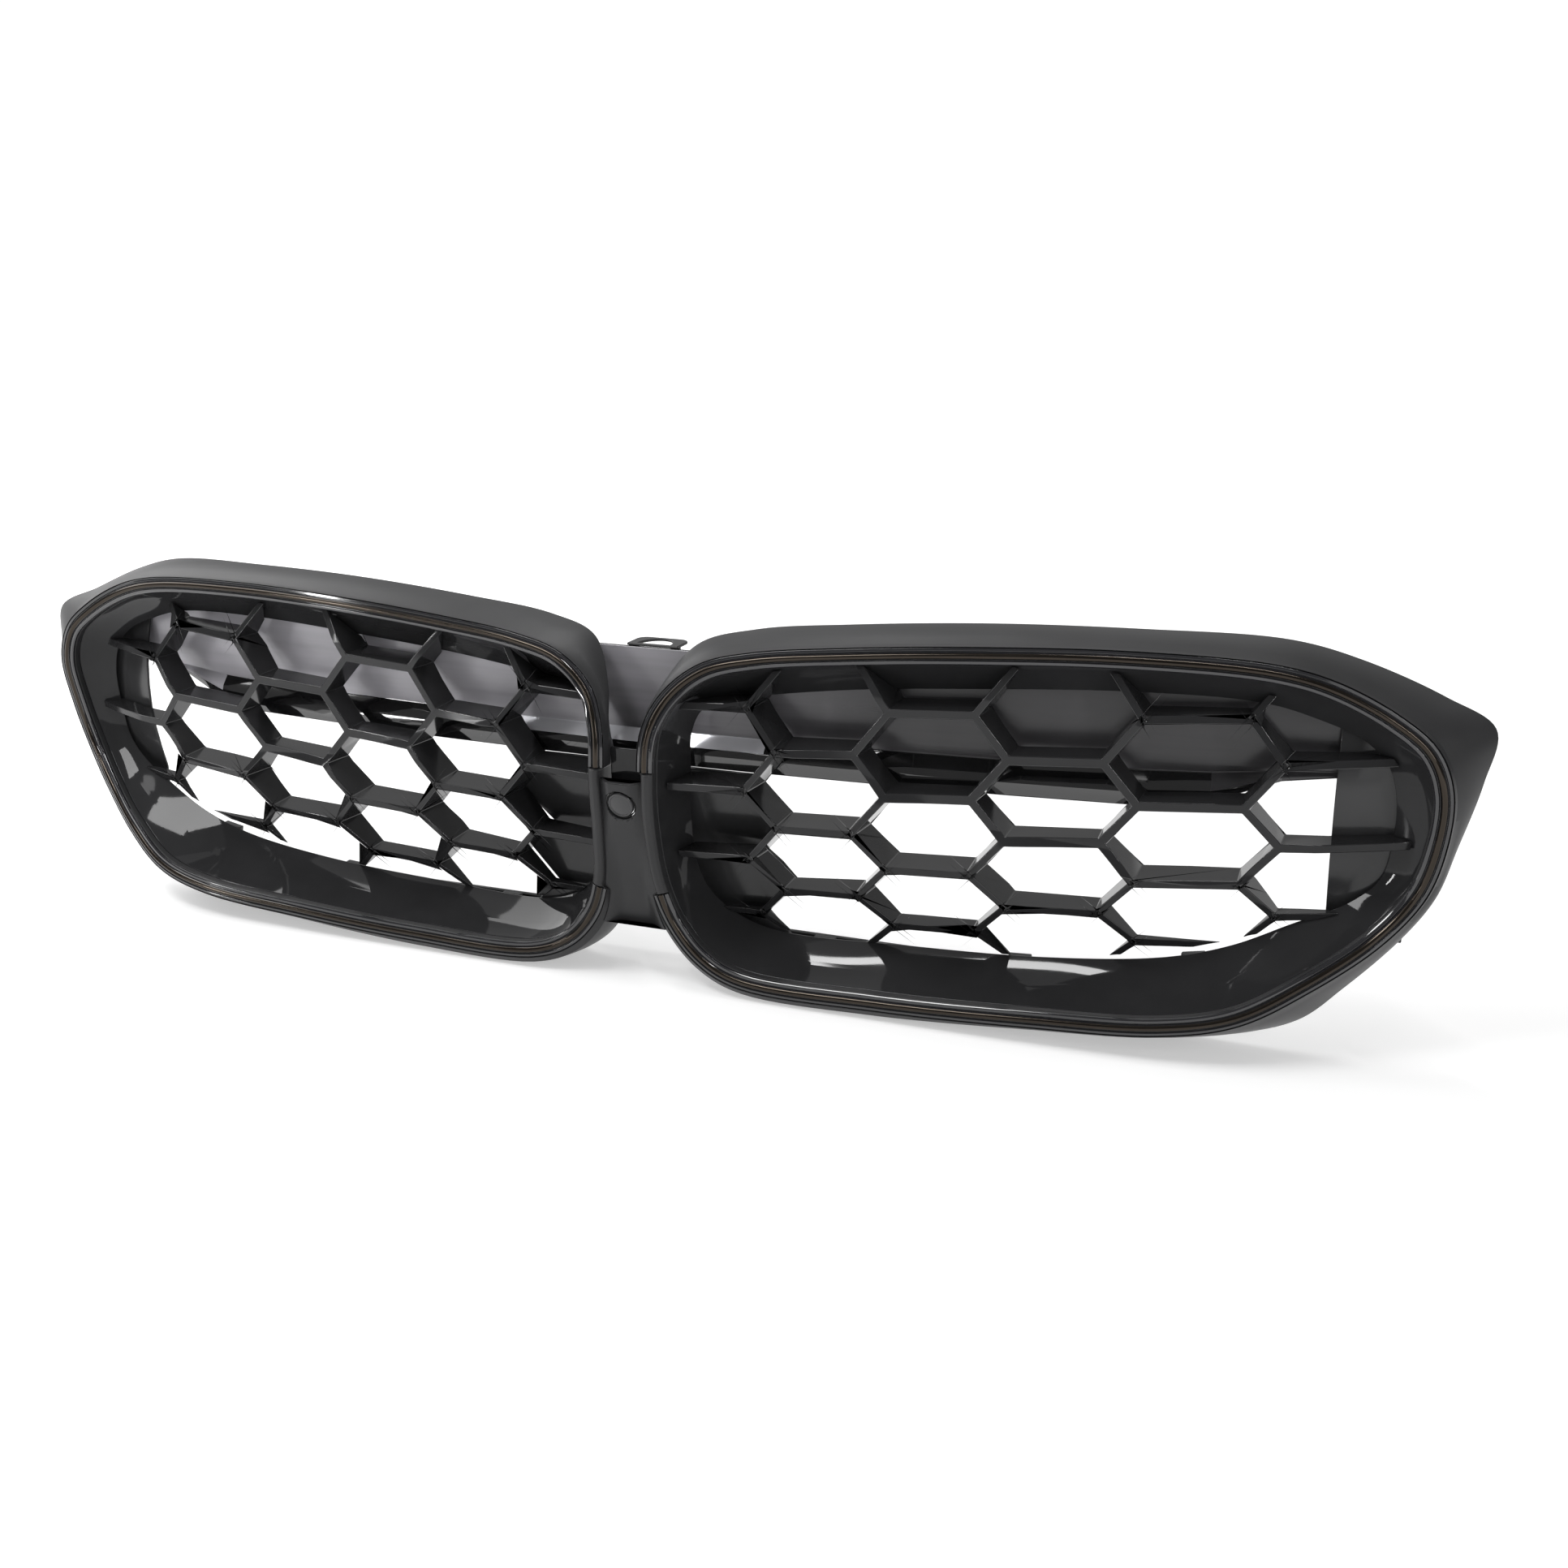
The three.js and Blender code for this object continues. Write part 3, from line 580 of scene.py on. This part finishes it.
@dataclass
class Opening(Piece):
    """One half's surround, trim ring, shroud and hexagon insert."""

    side: Side = Side.RIGHT
    outline: Outline = field(default_factory=Outline)
    lip: float = 4.8
    seat: float = 2.6
    land: float = 6.5
    skin: float = 2.6
    crown: float = 0.9  # how far the surround's outer face swells between shoulder and rim
    crown_at: tuple[float, ...] = (0.25, 0.5, 0.75)
    shroud_wall: float = 2.2
    shroud_belly: float = 2.4  # how far the shroud swells halfway to the throat
    gap: float = 0.3
    bead_faces: tuple[int, int] = (5, 9)  # the stretch of the ring's section between the two grooves
    surround_edge: Edge = (0.5, 3, 24)
    ring_edge: Edge = (0.18, 2, 30)
    shroud_edge: Edge = (0.4, 2, 30)
    insert_edge: Edge = (0.4, 2, 34)
    insert_flat: float = 2.0

    def land_section(self, s: Station) -> Section:
        """The front edge: a seat for the trim ring, or a rounded crown beside the bridge."""
        if s.plain:
            return [
                (-self.lip, self.land),
                (-self.lip, 1.4),
                (-3.4, -0.3),
                (-1, -1),
                (0.8, -0.6),
                (s.crease, 0.8),
            ]
        edge = self.outline.crease
        return [
            (-self.lip, self.land),
            (-self.lip, self.seat),
            (-1.4, self.seat),
            (1.6, self.seat),
            (edge - 0.2, self.seat),
            (edge, 0.6),
        ]

    def surround_section(self, s: Station) -> list[Vector]:
        """The surround's closed section at a station."""
        skirt = s.crease + s.flare
        shoulder = s.at(skirt, 3.8)
        crown = [shoulder.lerp(s.rim, t) + s.out * self.crown * 4 * t * (1 - t) for t in self.crown_at]
        return [
            *(s.at(d, y) for d, y in self.land_section(s)),
            shoulder,
            *crown,
            s.rim,
            s.at(-5, 4, s.rim),
            s.at(-6.4, 1.6, s.rim),
            s.at(-self.skin - 0.4, -0.6, s.rim),
            s.at(skirt - self.skin, 6.4),
        ]

    def ring_section(self) -> tuple[Section, list[int]]:
        """The trim ring's section and, for each stretch, whether it is lacquer or the bead."""
        edge = self.outline.crease
        section = [
            (-self.lip + 0.2, self.seat - self.gap),
            (-self.lip + 0.2, 1.2),
            (-self.lip + 0.9, 0.6),
            (-2.6, 0.6),
            (-2.0, 1.6),
            (-1.5, 0.4),
            (-0.8, -0.25),
            (0, -0.45),
            (0.8, -0.25),
            (1.5, 0.4),
            (2.0, 1.6),
            (2.6, 0.7),
            (edge - 0.6, 0.9),
            (edge - 0.6, self.seat - self.gap),
        ]
        paint = [0] * len(section)
        start, end = self.bead_faces
        paint[start:end] = [1] * (end - start)
        return section, paint

    def build(self) -> None:
        """Builds and dresses the four pieces."""
        tag = self.side.tag
        stations = self.outline.all_round()
        surround = loft(f"surround_shell_{tag}", [self.surround_section(s) for s in stations], self.side)
        break_edges(surround, *self.surround_edge)
        self.settle(surround, SATIN_ABS, f"surround_{tag}")

        section, paint = self.ring_section()
        rows = [[s.at(d, y) for d, y in section] for s in self.outline.ring()]
        ring = loft(f"trim_ring_strip_{tag}", rows, self.side, closed=False, paint=paint)
        break_edges(ring, *self.ring_edge)
        self.settle(ring, TRIM_LACQUER, f"trim_ring_{tag}")
        SMOKED_CHROME.dress(ring)

        front = self.land + self.gap
        wall = self.shroud_wall
        rows = [
            [
                s.at(-self.lip, front),
                s.at(-self.lip, front).lerp(s.throat, 0.5) + s.out * self.shroud_belly,
                s.throat,
                s.at(wall, 0, s.throat),
                s.at(wall - self.lip, front),
            ]
            for s in stations
        ]
        shroud = loft(f"shroud_funnel_{tag}", rows, self.side)
        break_edges(shroud, *self.shroud_edge)
        self.settle(shroud, PIANO_ABS, f"shroud_{tag}")

        insert = copy_node(self.frame, f"mesh_insert_{tag}", f"hexagon_insert_{tag}", self.insert_flat)
        break_edges(insert, *self.insert_edge, edge_material=1)
        self.settle(insert, INSERT_ABS, f"mesh_insert_{tag}")
        EDGE_POLISH.dress(insert)


class BeamFace(Enum):
    """Which finish a face of the beam takes; the value is its material index."""

    FRONT = 0
    SHADED_BAND = 1
    LIP = 2
    BACK = 3


@dataclass
class RearPieces(Piece):
    """Crossbeam, blanking panels, straps, clips, rail and screws."""

    beam: str = "rear_crossbeam"
    edge: Edge = (0.6, 2, 30)
    screw_edge: Edge = (0.3, 2, 30)
    shaded_band_top: float = 0.1345  # top of the beam's gloss band, whose dark colour is painted shade, m
    painted_reflection_half: float = 0.072  # half the length of the painted reflection on the beam's lip, m
    front_limit: float = -0.2  # faces that point further back than this belong to the beam's back
    slope: tuple[float, float] = (0.4, 0.9)  # how far up the faces that take the painted reflection point

    def beam_face(self, face: bpy.types.MeshPolygon) -> BeamFace:
        """Tells which part of the beam's surface a face belongs to.

        Args:
            face: The face.

        Returns:
            The part of the beam's surface.
        """
        if face.normal.y > self.front_limit:
            return BeamFace.BACK
        if face.center.z > self.shaded_band_top:
            return BeamFace.FRONT
        low, high = self.slope
        # Faces of the lip's upward slope near the middle take the painted reflection.
        takes_reflection = low < face.normal.z < high and face.normal.y < 0 and abs(face.center.x) < self.painted_reflection_half
        return BeamFace.LIP if takes_reflection else BeamFace.SHADED_BAND

    def build(self) -> None:
        """Builds and dresses the rear pieces."""
        finishes = {"panel_grey": BLACK_PANEL, "carrier_black": CARRIER_PP, "screw_steel": ZINC_STEEL}
        for entry in self.frame["record"]["subparts"]:
            node = entry["node"]
            finish = BEAM_GREY if node == self.beam else finishes.get(entry["material_slot"])
            if finish is None:
                continue
            copy = copy_node(self.frame, node, f"{node}_finished")
            break_edges(copy, *(self.screw_edge if finish is ZINC_STEEL else self.edge))
            self.settle(copy, finish, node)
            if node == self.beam:
                # The band's finish holds painted shade, the lip's a painted reflection.
                GLOSS_BAND.dress(copy)
                BRIGHT_LIP.dress(copy)
                BLACK_PANEL.dress(copy)
                for face in copy.data.polygons:
                    face.material_index = self.beam_face(face).value


@dataclass
class Bridge(Piece):
    """The web between the rings, its camera plug and the dark plate over it."""

    outline: Outline = field(default_factory=Outline)
    centre_z: float = -12.2
    front: float = -34.0
    lean: float = math.radians(15)
    top: float = 1.0
    bottom: float = -84.6
    wall: float = 3.6
    radius: float = 7.3
    thickness: float = 2.6
    skirt: float = 5.9
    length: float = 9.0
    hole: float = 8.6
    meets: tuple[float, float] = (21.6, 26.4)  # corners between which the web meets the surround
    meets_steps: int = 90
    reach: float = 34.0  # the web lies nearer the middle than this
    tuck: float = 0.5  # how far the web goes in under the surround's shoulder
    depth: tuple[float, float] = (2.4, 3.0)  # behind the bead, beside the plain crown and beside the ring
    flat: float = 0.42  # share of the web's half-width that is flat
    web_steps: int = 32
    bore_sides: int = 96
    punch: float = 30.0  # half the length of the tool that makes the hole
    seal_gap: float = 0.3
    web_edge: Edge = (0.5, 3, 50)
    plate_edge: Edge = (0.5, 2, 28)
    plug_edge: Edge = (0.15, 2, 30)

    def face_y(self, z: float) -> float:
        """Front of the web at a height, in mm in the modelling axes."""
        return self.front - z * math.tan(self.lean)

    def axes(self) -> Matrix:
        """The plug's own axes in the row's frame: z points out of the bridge."""
        place = to_row(Vector((0, self.face_y(self.centre_z), self.centre_z)))
        return Matrix.Translation(place) @ Matrix.Rotation(math.pi / 2 + self.lean, 4, "X")

    def edge(self) -> list[Vector]:
        """Where the web meets the right-hand surround, from the bottom up."""
        points = []
        for corner in spread(*self.meets, self.meets_steps):
            s = self.outline.station(corner)
            points.append(s.at(s.crease + s.flare - self.tuck, self.depth[0] if s.plain else self.depth[1]))
        points = [p for p in points if self.bottom <= p.z <= self.top and p.x < self.reach]
        return sorted(points, key=lambda p: p.z)

    def web(self) -> bpy.types.Object:
        """The web as a sheet that flows from one surround to the other, with the plug's hole.

        Returns:
            The web, a closed body.
        """
        edge = self.edge()
        low, high = edge[0], edge[-1]
        edge = [Vector((low.x, low.y, self.bottom)), *edge, Vector((high.x, high.y, self.top))]
        shares = [math.sin(math.pi / 2 * t) for t in spread(-1, 1, self.web_steps)]
        rows = []
        for p in edge:
            middle = self.face_y(p.z)
            face = []
            for share in shares:
                t = max(0.0, (abs(share) - self.flat) / (1 - self.flat))
                rise = t * t * (3 - 2 * t)
                face.append(Vector((p.x * share, middle + (p.y - middle) * rise, p.z)))
            rows.append(face + [q + Vector((0, self.wall, 0)) for q in reversed(face)])
        body = loft("bridge_web", rows, closed=False)
        rod = [(0, self.punch), (self.hole, self.punch), (self.hole, -self.punch), (0, -self.punch)]
        punch = turned("punch", rod, self.axes(), self.bore_sides)
        cut = body.modifiers.new("hole", "BOOLEAN")
        cut.object, cut.operation, cut.solver = punch, "DIFFERENCE", "EXACT"
        shape = bpy.data.meshes.new_from_object(body.evaluated_get(bpy.context.evaluated_depsgraph_get()))
        body.modifiers.clear()
        body.data = shape
        bpy.data.objects.remove(punch)
        return body

    def build(self) -> None:
        """Builds and dresses the bridge's pieces."""
        web = self.web()
        break_edges(web, *self.web_edge)
        self.settle(web, SATIN_ABS, "centre_bridge")
        plate = copy_node(self.frame, "pocket_plate", "pocket_back")
        break_edges(plate, *self.plate_edge)
        self.settle(plate, POCKET_BLACK, "pocket_plate")
        r, t = self.radius, self.thickness
        cap = turned(
            "plug_cap",
            [
                (0, 0.9 - t),
                (self.skirt - 1.6, 0.9 - t),
                (self.skirt - 1.6, -self.length),
                (self.skirt, -self.length),
                (self.skirt, -0.6 - t),
                (r, -0.6 - t),
                (r, -1.1),
                (r - 0.4, -0.5),
                (r - 1.1, -0.25),
                (r - 1.5, -0.7),
                (r * 0.5, -0.15),
                (0, 0.05),
            ],
            self.axes(),
        )
        break_edges(cap, *self.plug_edge)
        self.settle(cap, PLUG_ABS, "camera_blanking_plug", body=PLUG_BODY)
        inner, outer = r + self.seal_gap, self.hole - self.seal_gap
        seal = turned(
            "plug_seal_ring", [(inner, -3.6), (outer, -3.6), (outer, -1.6), (inner, -1.9)], self.axes()
        )
        break_edges(seal, *self.plug_edge)
        self.settle(seal, SEAL_RUBBER, "plug_seal")


# ---- studio ----------------------------------------------------------------------------------


@dataclass
class Studio:
    """A pale floor, a dim room with a bright backdrop, soft lamps and the camera."""

    floor_half: float = 9.0
    floor_height: float = -0.0012  # just clear of the surrounds' lowest points
    floor_colour: str = "#d8d8d8"
    floor_roughness: float = 0.9
    floor_specular: float = 0.1
    aim_height: float = 0.1
    camera_place: tuple[float, float, float] = (0.40303, -0.84518, 0.38471)
    azimuth: float = 21.06
    elevation: float = 16.67
    lens: float = 40.99
    sensor: float = 36.0
    glow: tuple[float, float] = (0.42, 0.95)  # the floor's own light under the grille and far away
    glow_reach: tuple[float, float] = (0.5, 1.4)  # distances, in m, between which it rises
    world_strength: float = 1.05
    room: float = 0.22  # brightness of the room round the backdrop
    sector: tuple[float, float] = (0.35, 0.6)  # how far ahead a direction points at the backdrop's sides
    # Height of a direction and the backdrop's brightness there.
    backdrop: tuple[tuple[float, float], ...] = ((0.14, 1.0), (0.2, 0.5), (0.6, 0.42), (0.75, 0.2))

    def floor(self) -> None:
        """A plain pale floor under the grille."""
        bm = bmesh.new()
        bmesh.ops.create_grid(bm, x_segments=1, y_segments=1, size=self.floor_half)
        mesh = bpy.data.meshes.new("floor")
        bm.to_mesh(mesh)
        bm.free()
        floor = new_object("floor", mesh)
        floor.location.z = self.floor_height
        material = bpy.data.materials.new("white_paper_floor")
        material.use_nodes = True
        shader = material.node_tree.nodes["Principled BSDF"]
        shader.inputs["Base Color"].default_value = linear(self.floor_colour)
        shader.inputs["Roughness"].default_value = self.floor_roughness
        shader.inputs["Specular IOR Level"].default_value = self.floor_specular
        shader.inputs["Emission Color"].default_value = linear("#ffffff")
        tree = material.node_tree
        place = add_node(tree, "TexCoord").outputs["Object"]
        distance = add_node(tree, "VectorMath", {"operation": "LENGTH"}, {0: place}).outputs["Value"]
        (near, far), (low, high) = self.glow_reach, self.glow
        spreading = {"From Min": near, "From Max": far, "To Min": low, "To Max": high}
        glow = add_node(tree, "MapRange", spreading, {"Value": distance})
        tree.links.new(glow.outputs["Result"], shader.inputs["Emission Strength"])
        mesh.materials.append(material)

    def surroundings(self) -> None:
        """A dim room with a bright backdrop behind the grille, white near the horizon."""
        world = bpy.data.worlds.new("studio")
        bpy.context.scene.world = world
        world.use_nodes = True
        tree = world.node_tree
        tree.nodes.clear()
        direction = add_node(tree, "TexCoord").outputs["Generated"]
        height = add_node(tree, "SeparateXYZ", None, {"Vector": direction}).outputs["Z"]
        ramp = add_node(tree, "ValToRGB", None, {"Fac": height})
        for element, (place, level) in zip(ramp.color_ramp.elements, self.backdrop[:2]):
            element.position, element.color = place, (level, level, level, 1)
        for place, level in self.backdrop[2:]:
            ramp.color_ramp.elements.new(place).color = (level, level, level, 1)
        ahead = (-math.sin(math.radians(self.azimuth)), math.cos(math.radians(self.azimuth)), 0)
        facing = add_node(tree, "VectorMath", {"operation": "DOT_PRODUCT", 1: ahead}, {0: direction})
        low, high = self.sector
        sector = add_node(
            tree,
            "MapRange",
            {"From Min": low, "From Max": high, "interpolation_type": "SMOOTHSTEP"},
            {"Value": facing.outputs["Value"]},
        )
        room = (self.room, self.room, self.room, 1)
        colour = add_node(
            tree,
            "Mix",
            {"data_type": "RGBA", MIX_FIRST: room},
            {MIX_FACTOR: sector.outputs["Result"], MIX_SECOND: ramp.outputs["Color"]},
        )
        glow = add_node(
            tree, "Background", {"Strength": self.world_strength}, {"Color": colour.outputs[MIX_RESULT]}
        )
        add_node(tree, "OutputWorld", None, {"Surface": glow.outputs["Background"]})

    def lamp(
        self,
        name: str,
        place: Sequence[float],
        size: tuple[float, float],
        power: float,
        sheen_only: bool = False,
    ) -> None:
        """A soft rectangular lamp aimed at the grille.

        Args:
            name: Name of the lamp.
            place: Where it stands, in metres.
            size: Its width and height, in metres.
            power: Its power, in watts.
            sheen_only: Whether only glossy surfaces catch it.
        """
        light = bpy.data.lights.new(name, "AREA")
        light.shape = "RECTANGLE"
        light.size, light.size_y = size
        light.energy = power
        obj = bpy.data.objects.new(name, light)
        bpy.context.scene.collection.objects.link(obj)
        obj.location = place
        obj.visible_diffuse = not sheen_only
        aim = Vector((0, 0, self.aim_height)) - Vector(place)
        obj.rotation_euler = aim.to_track_quat("-Z", "Y").to_euler()

    def camera(self) -> None:
        """The camera, at the viewing angle of a catalogue picture."""
        data = bpy.data.cameras.new("camera")
        data.lens = self.lens
        data.sensor_width = self.sensor
        obj = bpy.data.objects.new("camera", data)
        bpy.context.scene.collection.objects.link(obj)
        obj.location = self.camera_place
        obj.rotation_euler = (math.radians(90 - self.elevation), 0, math.radians(self.azimuth))
        bpy.context.scene.camera = obj

    def build(self) -> None:
        """Sets up the whole studio."""
        self.camera()
        self.floor()
        self.surroundings()
        self.lamp("key_softbox", (-1.25, 0.15, 1.0), (1.2, 0.9), 14)
        self.lamp("rear_softbox", (-0.5, 0.75, 1.3), (2.2, 1.0), 3, sheen_only=True)
        self.lamp("overhead_strip", (0.1, 0.1, 1.5), (1.8, 0.06), 9)
        self.lamp("front_strip", (-0.5, -0.6, 1.3), (0.7, 0.3), 9)
        self.lamp("left_strip", (-1.3, -1.2, 0.5), (0.05, 0.8), 5)
        self.lamp("right_strip", (1.4, -0.9, 0.7), (0.05, 0.8), 5)
        bpy.context.scene.view_settings.view_transform = "Standard"


def main() -> None:
    """Builds the grille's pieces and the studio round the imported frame."""
    logging.basicConfig(level=logging.INFO, format="%(name)s: %(message)s")
    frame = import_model()
    Studio().build()
    for side in Side:
        Opening(frame, side).build()
    RearPieces(frame).build()
    Bridge(frame).build()


if __name__ == "__main__":
    main()
